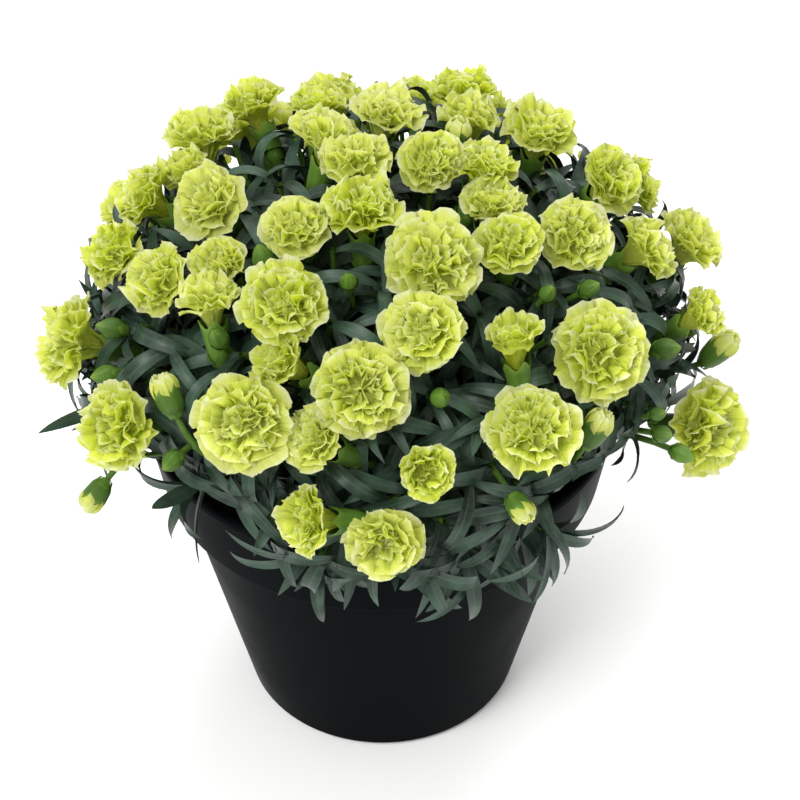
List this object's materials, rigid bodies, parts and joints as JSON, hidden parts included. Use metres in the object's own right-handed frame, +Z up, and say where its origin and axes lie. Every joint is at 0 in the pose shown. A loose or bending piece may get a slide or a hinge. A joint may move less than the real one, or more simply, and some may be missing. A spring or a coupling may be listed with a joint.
{
  "type": "potted dianthus plant",
  "caption": "Bushy carnation plant in full bloom with ruffled petals and narrow leaves, in a round tapered pot with a deep rim band.",
  "frame": {"origin": "centre of the underside of the pot, on the pot's axis", "axes": "+Z up, -Y the plant's front, +X to the right seen from the front"},
  "size_m": [0.2926, 0.309, 0.3029],
  "materials": {
    "pot_plastic": "injection-moulded black plastic, satin",
    "peat": "moist crumbly peat",
    "foliage": "waxy blue-green leaves, stems and calyces",
    "petals": "soft lime petals with pale edges"
  },
  "bodies": {
    "root": {"bloom_03_01_02_04": "petals", "bloom_05": "petals", "bloom_06": "petals", "bloom_07": "petals", "bloom_08_09": "petals", "bloom_10": "petals", "bloom_11": "petals", "bloom_16_19_12_20": "petals", "bloom_13_14": "petals", "bloom_15": "petals", "bloom_17": "petals", "bloom_18": "petals", "bloom_21_22_26_27": "petals", "bloom_23_24_25": "petals", "bloom_28": "petals", "bloom_29": "petals", "bloom_30": "petals", "bloom_31": "petals", "bloom_32": "petals", "bloom_33": "petals", "bloom_34": "petals", "bloom_35": "petals", "bloom_36": "petals", "bloom_37": "petals", "bloom_38": "petals", "bloom_39_40_41": "petals", "bloom_42": "petals", "bloom_43": "petals", "bloom_44": "petals", "bloom_45": "petals", "bloom_46_51_52": "petals", "bloom_47": "petals", "bloom_48": "petals", "bloom_49": "petals", "bloom_50": "petals", "bloom_53": "petals", "bloom_54": "petals", "bloom_55": "petals", "growing_medium": "peat", "leafy_stems_back_left": "foliage", "leafy_stems_back_right": "foliage", "leafy_stems_front_left": "foliage", "leafy_stems_front_right": "foliage", "leafy_stems_left": "foliage", "leafy_stems_middle": "foliage", "leafy_stems_right": "foliage", "pot": "pot_plastic"}
  },
  "joints": []
}
